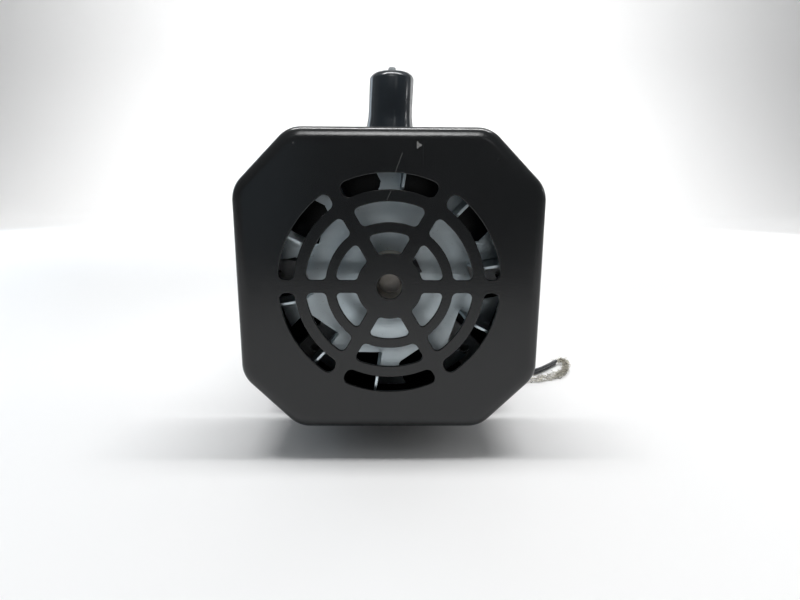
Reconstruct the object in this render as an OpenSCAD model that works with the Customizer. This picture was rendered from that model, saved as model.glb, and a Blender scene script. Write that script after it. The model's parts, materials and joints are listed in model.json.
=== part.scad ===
// Fan-cooled diaphragm air pump, end cover to the front (-Y).
// The origin is on the floor under the middle of the pump.

/* [Cover] */
// Width and height of the octagonal cover
cover_w = 100; // [98:1:104]
// Length cut off each side at a corner
cover_cut = 18.5; // [16:0.5:20]
// Depth of the cover from its face to its rim
cover_depth = 30; // [29.5:0.5:31]
// Rounding of the octagon's corners
cover_corner_r = 10; // [8:1:12]
// Rounding of the edge round the face
cover_edge_r = 2.5; // [1.5:0.5:3.5]
// Thickness of the cover's sheet
cover_t = 1; // [0.8:0.1:1.2]
// Gap from the floor to the cover
cover_gap = 10; // [9:1:12]

/* [Grille] */
// Radius of the hole in front of the shaft end
centre_hole_r = 4.1; // [3.5:0.1:5]
// Inner and outer radius of the inner slots
inner_slots = [10.8, 17.55];
// Inner and outer radius of the middle slots
middle_slots = [20.85, 27.3];
// Inner and outer radius of the outer slots
outer_slots = [31.1, 36.2];
// Width of the spokes between the slots
spoke_w = 4.3; // [3.5:0.1:5.5]
// Number of spokes
spoke_count = 6; // [5:1:8]

/* [Fan] */
// Outer radius of the fan
fan_r = 39.5; // [38:0.5:41]
// Number of blades
blade_count = 10; // [8:1:10]
// Height of a bent-up blade
blade_h = 12.7; // [11:0.1:12.7]
// Radius where a blade starts
blade_root_r = 27.5; // [26:0.5:29]
// Depth of the fan disc behind the cover's face
fan_depth = 15; // [15:0.5:16]
// Thickness of the fan's sheet
fan_t = 0.9; // [0.8:0.1:1]
// Angle of the first blade, seen from the front
fan_turn = 81.66; // [0:1:90]
// Radius of the hub
hub_r = 10; // [9:0.5:10.5]

/* [Pump] */
// Throw of the eccentric
throw = 1.5; // [1:0.1:1.6]
// Depth of the middle of the pump head behind the face
head_depth = 55; // [55:0.5:56]
// Radius of the diaphragm
diaphragm_r = 21; // [20.5:0.1:21]
// Radius of the pump chamber
chamber_r = 18; // [17.5:0.1:18]
// Radius of the discs that clamp the diaphragm
clamp_r = 11; // [10:0.5:11.5]

/* [Outlet] */
// Outer radius of the hose spigot
spigot_r = 6.35; // [6:0.05:6.4]
// Bore radius of the spigot
spigot_bore_r = 4; // [3.5:0.1:4.2]
// Outer radius of the vinyl cap
cap_r = 8.6; // [8.2:0.1:8.8]
// Height of the cap without its nipple
cap_h = 21; // [20:0.5:22]

/* [Motor] */
// Width and height of the motor
motor_w = 80; // [80:1:82]
// Length of the lamination stack
stack_l = 36; // [34:1:36]
// Radius of the rotor
rotor_r = 19; // [18.5:0.1:19]
// Air gap between rotor and stator
air_gap = 0.5; // [0.4:0.1:0.6]
// Radius of the shaft
shaft_r = 4; // [4:0.1:4]

/* [Base] */
// Width of the base plate
base_w = 94; // [92:1:96]
// Thickness of the base plate
base_t = 3; // [2.5:0.5:3]
// Radius of a rubber foot
foot_r = 10; // [9:0.5:11]
// Sideways spacing of the mounting holes
mount_dx = 86; // [84:1:86]
// Lengthways spacing of the mounting holes
mount_dy = 64; // [60:1:66]
// Radius of the mounting holes
mount_hole_r = 2.25; // [2:0.05:2.5]

/* [Hidden] */
$fn = 64;

// Fits
fit = 0.02;                       // a part seated in another one on the same body
run = 0.1;                        // radial play of a part that slides
eps = 0.5;                        // how far a cutter runs past a face

// Heights above the floor
axis_z = cover_gap + cover_w / 2;
base_top = axis_z - motor_w / 2;
deck_z = 84.5;                    // top of the crankcase, where the diaphragm seats
plate_z = deck_z + 2;             // underside of the valve plate
chamber_top = plate_z + 5;
plate_top = plate_z + 13.5;
gasket_t = 0.8;
head_z = plate_top + gasket_t;
head_top = head_z + 5.7;
fin_top = head_z + 10.2;
spigot_z = head_top + 6;          // top of the spigot's hexagon
spigot_top = spigot_z + 18.5;

// Depths behind the cover's face, from front to back
shaft_front = 8.5;
hub_back = 22;
wall_front = 26;                  // front wall of the crankcase
front_bearing_y = 27;
wall_back = 35.5;
rod_y = head_depth - 3;           // front of the connecting rod
rod_t = 6;
plate_front = 75;
case_back = 80;
stack_front = case_back + 14;
stack_back = stack_front + stack_l;
bell_back = stack_back + 22;
rear_bearing_y = bell_back - 11;
overall_l = bell_back + 4;

// The pump head, seen from above
head_w = 54;
head_l = 44;
head_bolt_x = 22;
head_bolt_y = 17.5;
outlet_y = head_depth - 8;
inlet_y = head_depth + 10;
valve_r = 5.5;
pocket_r = 6.5;
m4_r = 2;

// Ball bearings: bore, outside, width, pitch and ball radius, balls
small_bearing = [4, 11, 7, 7.5, 1.98, 7];
thin_bearing = [7.5, 12, 5, 9.75, 1.19, 11];

// Where the arms, feet and bolts stand
arm_angles = [0, 180, 225, 315];
cover_screw_r = 1.6;
cover_screw_l = 8;
arm_front = 23.5;
arm_back = 28.5;
bolt_xy = motor_w / 2 - 6;
foot_x = 30;
foot_ys = [50, 135];
mount_mid_y = 90;

// Where the lead leaves the motor's side wall
lead_exit = [motor_w / 2, 141, 40];
// The lead, from the motor to the end of its insulation: x, depth, height
lead_r = 1.7;
lead_route = [
    [36, 141, 40], [42, 141, 40], [48, 141, 40], [52, 140.6, 38.4], [55, 139.4, 34],
    [56.6, 137.7, 27.5], [57.2, 135.6, 20.5], [57.3, 133, 13.6], [57, 130, 7.6],
    [56.5, 126.4, 3.4], [55.8, 122, 1.8], [55, 114, 1.7], [54.4, 105, 1.7], [54.6, 96, 1.7],
    [56.6, 87.5, 1.7], [61, 81, 1.7], [66.5, 78.4, 1.7], [71.5, 79.6, 1.7], [76, 83.2, 1.7],
    [80.5, 87.8, 1.7], [85.5, 93.2, 1.7]
];
// The bare braid that follows it
braid_r = 1.8;
braid_route = [
    [85.8, 93.5, 1.8], [87.4, 94.9, 1.8], [89, 95.4, 1.8], [90.2, 94.3, 1.8], [90.4, 91.8, 1.8],
    [89.8, 88.6, 1.8], [88.4, 84.6, 1.8], [86.2, 80.6, 1.8], [83.4, 77.2, 1.8], [80, 74.3, 1.8],
    [76.2, 72, 1.8], [72.2, 70.4, 1.8], [68.4, 69.6, 1.8], [65, 69.8, 1.8]
];

// ---- Helpers ----

// Everything is drawn with y as the depth behind the cover's face
module placed() { translate([0, -overall_l / 2, 0]) children(); }

// Extrudes an outline seen from the front, round the shaft axis, between two depths
module slab(from, to) {
    translate([0, to, axis_z]) rotate([90, 0, 0]) linear_extrude(to - from) children();
}

// A body of revolution round the shaft axis: its outline is [radius, depth]
module turned(drop = 0) {
    translate([0, 0, axis_z - drop]) rotate([-90, 0, 0]) rotate_extrude() children();
}

module ring(from, to, outer_r, inner_r) {
    slab(from, to) difference() {
        circle(outer_r);
        circle(inner_r);
    }
}

// A block given by its middle in x, its depths and its heights
module block(w, y0, y1, z0, z1, x = 0) {
    translate([x - w / 2, y0, z0]) cube([w, y1 - y0, z1 - z0]);
}

module post(x, y, z0, z1, r) { translate([x, y, z0]) cylinder(r = r, h = z1 - z0); }

// The four corners of a rectangle seen along the shaft
module at_bolts() {
    for (x = [-1, 1], z = [-1, 1]) translate([x * bolt_xy, z * bolt_xy]) children();
}

module at_head_bolts() {
    for (x = [-1, 1], y = [-1, 1])
        translate([x * head_bolt_x, head_depth + y * head_bolt_y, 0]) children();
}

module at_feet() {
    for (x = [-1, 1], y = foot_ys) translate([x * foot_x, y, 0]) children();
}

module hexagon(flats) { circle(r = flats / sqrt(3), $fn = 6); }

// ---- Front cover ----

// Centre of the rounding at the octagon's corner k
function corner_centre(k) =
    let (a = cover_w / 2 - cover_corner_r, b = a - cover_cut - cover_corner_r * (sqrt(2) - 2))
    let (q = floor(k / 2) * 90, p = k % 2 == 0 ? [a, b] : [b, a])
    [p[0] * cos(q) - p[1] * sin(q), p[0] * sin(q) + p[1] * cos(q)];

// The drawn cup, filled: one hull over rounded discs at the eight corners
module cup(r, edge_r, from, to) {
    translate([0, to, axis_z]) rotate([90, 0, 0])
        hull() for (k = [0:7]) translate(corner_centre(k)) {
            cylinder(r = r, h = to - from - edge_r, $fn = 32);
            cylinder(r = r - edge_r, h = to - from, $fn = 32);
            translate([0, 0, to - from - edge_r * (1 - sin(45))])
                cylinder(r = r - edge_r * (1 - cos(45)), h = 0.01, $fn = 32);
        }
}

module slot_ring(radii) {
    difference() {
        circle(radii[1]);
        circle(radii[0]);
        for (k = [0:spoke_count - 1])
            rotate(k * 360 / spoke_count) translate([0, -spoke_w / 2]) square([cover_w / 2, spoke_w]);
    }
}

// Distance from the axis to the cover's wall at an arm's angle
function wall_at(angle) = angle % 90 == 0 ? cover_w / 2 : (cover_w - cover_cut) / sqrt(2);

module radial_holes(r, from) {
    for (a = arm_angles) set_screw(wall_front + 0.5, a, wall_at(a) - from, wall_at(a) + eps, r);
}

module front_cover() {
    color([0.16, 0.17, 0.18]) placed() difference() {
        cup(cover_corner_r, cover_edge_r, 0, cover_depth);
        cup(cover_corner_r - cover_t, cover_edge_r - cover_t, cover_t, cover_depth + eps);
        slab(-eps, cover_t + eps) {
            circle(centre_hole_r);
            slot_ring(inner_slots);
            slot_ring(middle_slots);
            slot_ring(outer_slots);
        }
        radial_holes(cover_screw_r + 0.1, cover_t + eps);
    }
}

// Headless screws, flush with the cover's wall
module cover_screws() {
    color("silver") placed() for (a = arm_angles)
        set_screw(wall_front + 0.5, a, wall_at(a) - cover_screw_l, wall_at(a), cover_screw_r);
}

// Places of the screws that hold the baffle to the arms
module at_arms() { for (a = arm_angles) rotate(a) translate([40, 0]) children(); }

// Closes the cover's back round the crankcase, with air outlets over its upper half
module baffle_plate() {
    r = cover_corner_r - cover_t - 0.2;
    color([0.13, 0.14, 0.15]) placed() slab(arm_back, arm_back + 1) difference() {
        union() {
            polygon([for (k = [0:7]) each let (c = corner_centre(k))
                let (m = floor((k + 1) / 2) * 90, d = k % 2 == 0 ? k * 45 + 45 : k * 45)
                k % 2 == 0 ? [c + r * [cos(k * 45), sin(k * 45)], c + r * [cos(d), sin(d)]]
                    : [c + r * [cos(d), sin(d)], c + r * [cos(m), sin(m)]]]);
            for (k = [0:7]) translate(corner_centre(k)) circle(r);
        }
        circle(27.2);
        at_arms() circle(1.7);
        for (a = [30:15:150]) rotate(a) translate([41, -3.5]) square([4.5, 7]);
    }
}

module baffle_screws() {
    color("silver") placed() {
        slab(arm_front + 0.5, arm_back + 1) at_arms() circle(1.5 - fit);
        slab(arm_back + 1, arm_back + 2.8) at_arms() circle(2.8);
    }
}

// ---- Fan ----

// A blade's outline, also the outline of the gap it was bent out of: [radius, height]
function blade_outline(reach) = [
    [blade_root_r, 0], [blade_root_r + 1.5, blade_h - 1.7],
    [blade_root_r + 3, blade_h - 0.1], [reach, blade_h], [reach, 0]
];

module fan_wheel() {
    fan_back = fan_depth + fan_t;
    color([0.74, 0.78, 0.82]) placed() {
        slab(fan_depth, fan_back) difference() {
            circle(fan_r);
            circle(hub_r + fit);
            for (k = [0:blade_count - 1]) rotate(fan_turn - k * 360 / blade_count)
                mirror([0, 1]) polygon(blade_outline(fan_r + eps));
        }
        translate([0, fan_back, axis_z]) rotate([90, 0, 0])
            for (k = [0:blade_count - 1]) rotate(fan_turn - k * 360 / blade_count)
                translate([0, fan_t, 0]) rotate([90, 0, 0])
                    linear_extrude(fan_t) polygon(blade_outline(fan_r - 0.2));
    }
}

module fan_hub() {
    color([0.72, 0.70, 0.66]) placed() difference() {
        turned() difference() {
            polygon([[0, shaft_front], [hub_r - 1, shaft_front], [hub_r, shaft_front + 1],
                [hub_r, fan_depth + fan_t + fit], [hub_r + 6, fan_depth + fan_t + fit],
                [hub_r + 6, hub_back - 4], [hub_r - 1, hub_back], [0, hub_back]]);
            square([shaft_r + fit, 2 * hub_back]);
        }
        set_screw(12, 27, shaft_r, hub_r + eps, 2.5);
    }
}

// A screw pointing at the shaft axis, at an angle seen from the front
module set_screw(depth, angle, from_r, to_r, r) {
    translate([0, depth, axis_z]) rotate([0, 90 - angle, 0])
        translate([0, 0, from_r]) cylinder(r = r, h = to_r - from_r);
}

module fan_set_screw() {
    color("dimgray") placed() set_screw(12, 27, shaft_r + fit, hub_r + 1.3, 2.5 - fit);
}

// ---- Shaft, eccentric and rotor ----

module shaft() {
    color([0.62, 0.6, 0.57]) placed() difference() {
        turned() polygon([[0, shaft_front - 0.5], [shaft_r - 0.6, shaft_front - 0.5],
            [shaft_r, shaft_front + 0.1], [shaft_r, bell_back - 3], [0, bell_back - 3]]);
        ring(34.2, 35.2, shaft_r + eps, shaft_r - 0.4);
    }
}

module circlip(from, to, inner_r, outer_r) {
    slab(from, to) difference() {
        circle(outer_r);
        circle(inner_r);
        translate([-1.5, 0]) square([3, outer_r + eps]);
    }
}

module shaft_circlip() {
    color("dimgray") placed() circlip(34.22, 35.18, shaft_r - 0.4 + fit, shaft_r + 2);
}

module eccentric() {
    weight_y = rod_y + rod_t + 1.2;
    color([0.55, 0.55, 0.56]) placed() difference() {
        union() {
            translate([0, 0, -throw]) difference() {
                slab(rod_y - 2, rod_y + 5.5) circle(thin_bearing[0]);
                ring(rod_y - 0.7, rod_y + 0.5, thin_bearing[0] + eps, thin_bearing[0] - 0.5);
            }
            translate([0, 0, -throw]) slab(rod_y + 5.5, rod_y + 6.6) circle(9);
            slab(rod_y + 6.5, rod_y + 14) circle(10);
            slab(weight_y, weight_y + 5) intersection() {
                circle(13);
                translate([-13, 0]) square([26, 13]);
            }
        }
        slab(0, 2 * head_depth) circle(shaft_r + fit);
        set_screw(rod_y + 11, 180, shaft_r, 14, 1.6);
    }
}

module eccentric_set_screw() {
    color("dimgray") placed() set_screw(rod_y + 11, 180, shaft_r + fit, 9, 1.6 - fit);
}

module eccentric_circlip() {
    color("dimgray") placed() translate([0, 0, -throw])
        circlip(rod_y - 0.68, rod_y + 0.48, thin_bearing[0] - 0.5 + fit, thin_bearing[0] + 1.3);
}

module cage_bars(r) {
    for (k = [0:11]) rotate(k * 30 + 15) translate([rotor_r - 2.5, 0]) circle(r);
}

module rotor_core() {
    color([0.5, 0.48, 0.46]) placed() slab(stack_front, stack_back) difference() {
        circle(rotor_r);
        circle(shaft_r + fit);
        cage_bars(1.5 + fit);
    }
}

module rotor_cage() {
    color([0.8, 0.81, 0.82]) placed() {
        slab(stack_front, stack_back) cage_bars(1.5);
        for (y = [stack_front - 4, stack_back]) ring(y, y + 4, rotor_r - 0.8, 12);
    }
}

// ---- Ball bearings ----

module bearing_groove(b, depth) {
    translate([b[3], depth + b[2] / 2]) circle(b[4] + 0.05);
}

module bearing_inner(b, depth, drop = 0) {
    turned(drop) difference() {
        translate([b[0] + fit, depth]) square([b[3] - 0.75 * b[4] - b[0] - fit, b[2]]);
        bearing_groove(b, depth);
    }
}

module bearing_outer(b, depth, drop = 0) {
    turned(drop) difference() {
        translate([b[3] + 0.75 * b[4], depth]) square([b[1] - b[3] - 0.75 * b[4], b[2]]);
        bearing_groove(b, depth);
    }
}

module at_balls(b, depth, drop) {
    for (k = [0:b[5] - 1]) translate([0, depth + b[2] / 2, axis_z - drop])
        rotate([0, k * 360 / b[5], 0]) translate([b[3], 0, 0]) children();
}

module bearing_balls(b, depth, drop = 0) { at_balls(b, depth, drop) sphere(b[4]); }

module bearing_cage(b, depth, drop = 0) {
    difference() {
        turned(drop) translate([b[3] - 0.25 * b[4], depth + b[2] / 2 - 1.2 * b[4]])
            square([0.5 * b[4], 2.4 * b[4]]);
        at_balls(b, depth, drop) translate([-b[4], 0, 0]) rotate([0, 90, 0])
            cylinder(r = b[4] + 0.08, h = 2 * b[4]);
    }
}

module front_bearing_inner() { color("silver") placed() bearing_inner(small_bearing, front_bearing_y); }
module front_bearing_outer() { color("silver") placed() bearing_outer(small_bearing, front_bearing_y); }
module front_bearing_balls() { color("white") placed() bearing_balls(small_bearing, front_bearing_y); }
module front_bearing_cage() { color("tan") placed() bearing_cage(small_bearing, front_bearing_y); }

module rear_bearing_inner() { color("silver") placed() bearing_inner(small_bearing, rear_bearing_y); }
module rear_bearing_outer() { color("silver") placed() bearing_outer(small_bearing, rear_bearing_y); }
module rear_bearing_balls() { color("white") placed() bearing_balls(small_bearing, rear_bearing_y); }
module rear_bearing_cage() { color("tan") placed() bearing_cage(small_bearing, rear_bearing_y); }

module rod_bearing_inner() { color("silver") placed() bearing_inner(thin_bearing, rod_y + 0.5, throw); }
module rod_bearing_outer() { color("silver") placed() bearing_outer(thin_bearing, rod_y + 0.5, throw); }
module rod_bearing_balls() { color("white") placed() bearing_balls(thin_bearing, rod_y + 0.5, throw); }
module rod_bearing_cage() { color("tan") placed() bearing_cage(thin_bearing, rod_y + 0.5, throw); }

module bearing_circlip() {
    color("dimgray") placed() circlip(26.02, 26.98, 9.2, 11.4);
}

// A wavy spring washer, as a flat ring with the free height of its waves
module wave_washer() {
    color("gray") placed() ring(rear_bearing_y + 7, rear_bearing_y + 8, 10.8, 8.6);
}

// ---- Connecting rod and diaphragm ----

module connecting_rod() {
    rod_top = deck_z - throw;     // the diaphragm's underside, at the bottom of the stroke
    color([0.78, 0.79, 0.8]) placed() difference() {
        union() {
            translate([0, 0, -throw]) slab(rod_y, rod_y + rod_t) circle(15.5);
            block(9, rod_y, rod_y + rod_t, axis_z + 12, rod_top - 1);
            post(0, head_depth, rod_top - 3, rod_top, clamp_r);
        }
        translate([0, 0, -throw]) slab(0, 2 * head_depth) circle(thin_bearing[1] + fit);
        post(0, head_depth, rod_top - 9, rod_top + eps, m4_r);
    }
}

// Countersunk for the clamp screw, whose head ends flush
module upper_clamp_disc() {
    disc_z = plate_z - throw;
    color([0.75, 0.76, 0.78]) placed() translate([0, head_depth, 0]) rotate_extrude()
        polygon([[m4_r + fit, disc_z], [clamp_r, disc_z], [clamp_r, disc_z + 2.4],
            [clamp_r - 0.6, disc_z + 3], [4 + fit, disc_z + 3], [m4_r + fit, disc_z + 1]]);
}

module clamp_screw() {
    disc_z = plate_z - throw;
    color("gainsboro") placed() translate([0, head_depth, 0]) rotate_extrude()
        polygon([[0, disc_z - 10], [m4_r - fit, disc_z - 10], [m4_r - fit, disc_z + 1],
            [4 - fit, disc_z + 3], [0, disc_z + 3]]);
}

// Its rim is clamped to the crankcase and its middle to the rod
module diaphragm() {
    color([0.15, 0.15, 0.15]) placed() translate([0, head_depth, 0]) rotate_extrude()
        polygon([[m4_r + fit, deck_z - throw], [clamp_r, deck_z - throw], [chamber_r, deck_z],
            [diaphragm_r, deck_z], [diaphragm_r, plate_z], [chamber_r, plate_z],
            [clamp_r, plate_z - throw], [m4_r + fit, plate_z - throw]]);
}

// ---- Crankcase ----

// The outline of the head, gasket, valve plate and the crankcase's deck
module head_outline() {
    r = 4;
    union() {
        square([head_w - 2 * r, head_l], center = true);
        square([head_w, head_l - 2 * r], center = true);
        for (x = [-1, 1], y = [-1, 1])
            translate([x * (head_w / 2 - r), y * (head_l / 2 - r)]) circle(r);
    }
}

module head_slab(z0, z1) {
    translate([0, head_depth, z0]) linear_extrude(z1 - z0) children();
}

// The square motor outline with its corners cut off
module motor_outline(w) {
    h = w / 2;
    c = 7;
    polygon([[h - c, h], [h, h - c], [h, c - h], [h - c, -h], [c - h, -h], [-h, c - h],
        [-h, h - c], [c - h, h]]);
}

module arms() {
    for (a = arm_angles)
        slab(arm_front, arm_back) rotate(a) translate([24, -5])
            square([wall_at(a) - cover_t - 0.1 - 24, 10]);
}

module crankcase() {
    color([0.66, 0.67, 0.68]) placed() difference() {
        union() {
            slab(wall_front, plate_front) circle(27);
            head_slab(deck_z - 14, deck_z) head_outline();
            block(40, 45, 70, base_top, axis_z - 15);
            arms();
        }
        // The barrel stands no higher than the deck
        block(head_w, wall_front - eps, case_back, deck_z, axis_z + motor_w / 2);
        slab(wall_back, case_back) circle(20);
        slab(wall_front - 3, 34) circle(small_bearing[1] + fit);
        slab(26, 27) circle(11.5);
        slab(30, wall_back + eps) circle(9);
        post(0, head_depth, axis_z + 17, deck_z + eps, chamber_r);
        at_adapter_screws() countersunk(m4_r);
        at_head_bolts() post(0, 0, deck_z - 10, deck_z + eps, m4_r);
        for (x = [-12, 12]) post(x, 57, base_top - eps, base_top + 10, m4_r);
        radial_holes(cover_screw_r + fit, cover_screw_l);
        slab(arm_front - eps, arm_back + eps) at_arms() circle(1.5);
    }
}

module at_adapter_screws() {
    for (a = [45:90:315]) translate([23.5 * cos(a), 0, 23.5 * sin(a)]) children();
}

// A countersunk screw along the shaft, flush with the adapter plate's back
module countersunk(r) {
    turned() polygon([[0, case_back - 13], [r, case_back - 13], [r, case_back - 2.2],
        [r + 1.9, case_back - 0.2], [r + 1.9, case_back], [0, case_back]]);
}

// The square plate that the motor bolts to, cut back where the head reaches over it
module adapter_plate() {
    color([0.62, 0.63, 0.64]) placed() difference() {
        slab(plate_front, case_back) motor_outline(motor_w);
        slab(plate_front - eps, case_back + eps) circle(20);
        slab(plate_front - eps, case_back + eps) at_bolts() circle(m4_r + fit);
        block(head_w + 0.6, plate_front - eps, head_depth + head_l / 2 + 0.2, deck_z - 14.2,
            axis_z + motor_w / 2 + eps);
        at_adapter_screws() countersunk(m4_r);
    }
}

module adapter_screws() { color("silver") placed() at_adapter_screws() countersunk(m4_r - fit); }

// ---- Valve plate and valves ----

module seat_holes(y, z0, z1) {
    for (k = [0:5]) translate([0, y, 0]) rotate(k * 60) post(3.8, 0, z0, z1, 0.9);
}

module valve_plate() {
    color([0.7, 0.71, 0.72]) placed() difference() {
        head_slab(plate_z, plate_top) head_outline();
        post(0, head_depth, plate_z - eps, chamber_top, chamber_r);
        at_head_bolts() post(0, 0, plate_z - eps, plate_top + eps, m4_r + 0.2);
        // Outlet: the skirt above the web, the bulb under it
        post(0, outlet_y, chamber_top - eps, plate_top + eps, 1.4 + run);
        post(0, outlet_y, chamber_top - eps, chamber_top + 3.2, 2.8);
        post(0, outlet_y, plate_top - 1.8, plate_top + eps, pocket_r);
        seat_holes(outlet_y, chamber_top - eps, plate_top);
        // Inlet: the skirt under the web, the bulb above it
        post(0, inlet_y, chamber_top - eps, plate_top + eps, 1.4 + run);
        post(0, inlet_y, plate_top - 2.5, plate_top + eps, 2.8);
        post(0, inlet_y, chamber_top - eps, chamber_top + 2.5, pocket_r);
        seat_holes(inlet_y, chamber_top - eps, plate_top + eps);
    }
}

// An umbrella valve: skirt, stem and bulb, with the skirt's sealing face at height 0
module umbrella() {
    rotate_extrude() polygon([[0, 1.2], [4.5, 1.2], [valve_r, 0.6], [valve_r, 0], [1.4, 0],
        [1.4, -4.5], [2.2, -4.5], [2.2, -5.2], [1, -6.6], [0, -6.6]]);
}

module inlet_valve() {
    color("darkorange") placed() translate([0, inlet_y, chamber_top + 2.4])
        mirror([0, 0, 1]) umbrella();
}

module outlet_valve() {
    color("darkorange") placed() translate([0, outlet_y, plate_top - 1.7]) umbrella();
}

// ---- Head ----

module head_gasket() {
    color([0.25, 0.24, 0.22]) placed() difference() {
        head_slab(plate_top, head_z) head_outline();
        at_head_bolts() post(0, 0, plate_top - eps, head_z + eps, m4_r + 0.2);
        for (y = [outlet_y, inlet_y]) post(0, y, plate_top - eps, head_z + eps, 7);
    }
}

module head_cover() {
    color([0.68, 0.69, 0.7]) placed() difference() {
        union() {
            head_slab(head_z, head_top) head_outline();
            for (x = [-25, -18.5, -12, 12, 18.5, 25])
                block(2, head_depth - 18, head_depth + 18, head_top - 1, fin_top, x);
            post(0, inlet_y, head_top - 1, head_top + 1.4, 6.5);
        }
        at_head_bolts() {
            post(0, 0, head_z - eps, head_top + eps, m4_r + 0.2);
            post(0, 0, head_top, fin_top + eps, 4.6);
        }
        for (y = [outlet_y, inlet_y]) post(0, y, head_z - eps, head_top - 1.7, 7);
        post(0, outlet_y, head_z, head_top + eps, 4.9);
        post(0, inlet_y, head_z, head_top + 2, 3.5);
    }
}

module head_screws() {
    color("silver") placed() at_head_bolts() {
        post(0, 0, deck_z - 9, head_top, m4_r - fit);
        difference() {
            post(0, 0, head_top, head_top + 4, 3.5);
            translate([0, 0, head_top + 2]) linear_extrude(2 + eps) hexagon(3);
        }
    }
}

// The hose tail that the air leaves by
module outlet_spigot() {
    color([0.72, 0.66, 0.48]) placed() difference() {
        union() {
            post(0, outlet_y, head_top - 1.6, head_top + 2.6, 4.9 - fit);
            translate([0, outlet_y, head_top + 1.6]) linear_extrude(spigot_z - head_top - 1.6) hexagon(16);
            post(0, outlet_y, spigot_z - eps, spigot_top, spigot_r);
        }
        post(0, outlet_y, head_z, spigot_top + eps, spigot_bore_r);
    }
}

module spigot_seal() {
    color([0.5, 0.12, 0.1]) placed() difference() {
        post(0, outlet_y, head_top, head_top + 1.6, 7.5);
        post(0, outlet_y, head_top - eps, head_top + 2, 4.9 + fit);
    }
}

// A dip-moulded vinyl cap with the drip left on its top
module port_cap() {
    cap_z = spigot_z;
    wall = cap_r - spigot_r - 0.09;
    color([0.08, 0.08, 0.09]) placed() translate([0, outlet_y, 0]) difference() {
        rotate_extrude() polygon([[0, cap_z + 0.3], [cap_r + 0.8, cap_z + 0.3], [cap_r + 0.8, cap_z + 1.6],
            [cap_r, cap_z + 6], [cap_r, cap_z + cap_h - 2], [cap_r - 0.6, cap_z + cap_h - 0.6],
            [cap_r - 2, cap_z + cap_h], [1.6, cap_z + cap_h + 0.4], [1.4, cap_z + cap_h + 2],
            [0, cap_z + cap_h + 2.2]]);
        cylinder(r = cap_r - wall, h = cap_z + cap_h - 1.7);
    }
}

module inlet_filter_cap() {
    z0 = head_top + fit;
    color([0.12, 0.12, 0.13]) placed() difference() {
        post(0, inlet_y, z0, z0 + 7.5, 7.9);
        post(0, inlet_y, z0 - eps, z0 + 6.3, 6.5 + 0.06);
        for (k = [0:5]) translate([0, inlet_y, 0]) rotate(k * 60 + 30)
            translate([2, -0.7, z0 + 5]) cube([3.6, 1.4, 4]);
    }
}

module inlet_felt() {
    color([0.85, 0.83, 0.76]) placed() post(0, inlet_y, head_top + 1.4, head_top + 6.2, 6.4);
}

// ---- Motor ----

module motor_front_bell() {
    back = stack_front;
    color([0.6, 0.61, 0.62]) placed() difference() {
        slab(case_back, back) motor_outline(motor_w);
        slab(case_back + 3, back + eps) difference() {
            square(motor_w - 6, center = true);
            at_bolts() circle(5.5);
            for (x = [-1, 1], z = [-1, 1]) translate([x * 37, z * 37]) square(8, center = true);
        }
        slab(case_back - eps, back) circle(6);
        slab(case_back - eps, back + eps) at_bolts() circle(m4_r + fit);
        for (x = [-1, 1], z = [-16, 0, 16])
            block(8, case_back + 5, back - 2, axis_z + z - 5, axis_z + z + 5, x * motor_w / 2);
    }
}

// Slots that hold the windings, as seen from the front
module winding_slots(w) {
    for (k = [0:11]) rotate(k * 30) translate([22, -w / 2]) square([8, w]);
}

module stator_core() {
    color([0.42, 0.4, 0.39]) placed() slab(stack_front, stack_back) difference() {
        motor_outline(motor_w);
        circle(rotor_r + air_gap);
        at_bolts() circle(m4_r + fit);
        winding_slots(5);
    }
}

module stator_windings() {
    color([0.62, 0.3, 0.14]) placed() {
        slab(stack_front - 6, stack_back + 6) winding_slots(4.8);
        for (y = [stack_front - 8, stack_back + 0.5])
            ring(y, y + 7.5, 32.5, 21.5);
    }
}

module rear_bell() {
    color([0.6, 0.61, 0.62]) placed() difference() {
        union() {
            difference() {
                slab(stack_back, bell_back) motor_outline(motor_w);
                slab(stack_back - eps, bell_back - 3) difference() {
                    square(motor_w - 6, center = true);
                    at_bolts() circle(5.5);
                    for (x = [-1, 1], z = [-1, 1]) translate([x * 37, z * 37]) square(8, center = true);
                    for (x = [-1, 1]) translate([x * 18, 5 - motor_w / 2]) square([10, 10], center = true);
                }
            }
            slab(rear_bearing_y - 1, bell_back - eps) circle(14.5);
        }
        slab(rear_bearing_y - 2, bell_back - 3) circle(small_bearing[1] + fit);
        slab(stack_back, bell_back + eps) at_bolts() circle(m4_r + fit);
        for (k = [0:7]) slab(bell_back - 4, bell_back + eps)
            rotate(k * 45) translate([18, -2.5]) square([14, 5]);
        for (z = [0, 16])
            block(8, stack_back + 3, bell_back - 6, axis_z + z - 5, axis_z + z + 5, -motor_w / 2);
        for (x = [-1, 1]) post(x * 18, bell_back - 7, base_top - eps, base_top + 8, m4_r);
        translate(lead_exit) rotate([0, 90, 0]) cylinder(r = 4, h = 8, center = true);
    }
}

module through_bolts() {
    color("silver") placed() {
        slab(plate_front, overall_l) at_bolts() circle(m4_r);
        slab(plate_front - 3, plate_front) at_bolts() circle(3.5);
    }
}

module bolt_nuts() {
    color("silver") placed() slab(bell_back, bell_back + 3.2) at_bolts() difference() {
        hexagon(7);
        circle(m4_r + fit);
    }
}

// ---- Base ----

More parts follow.
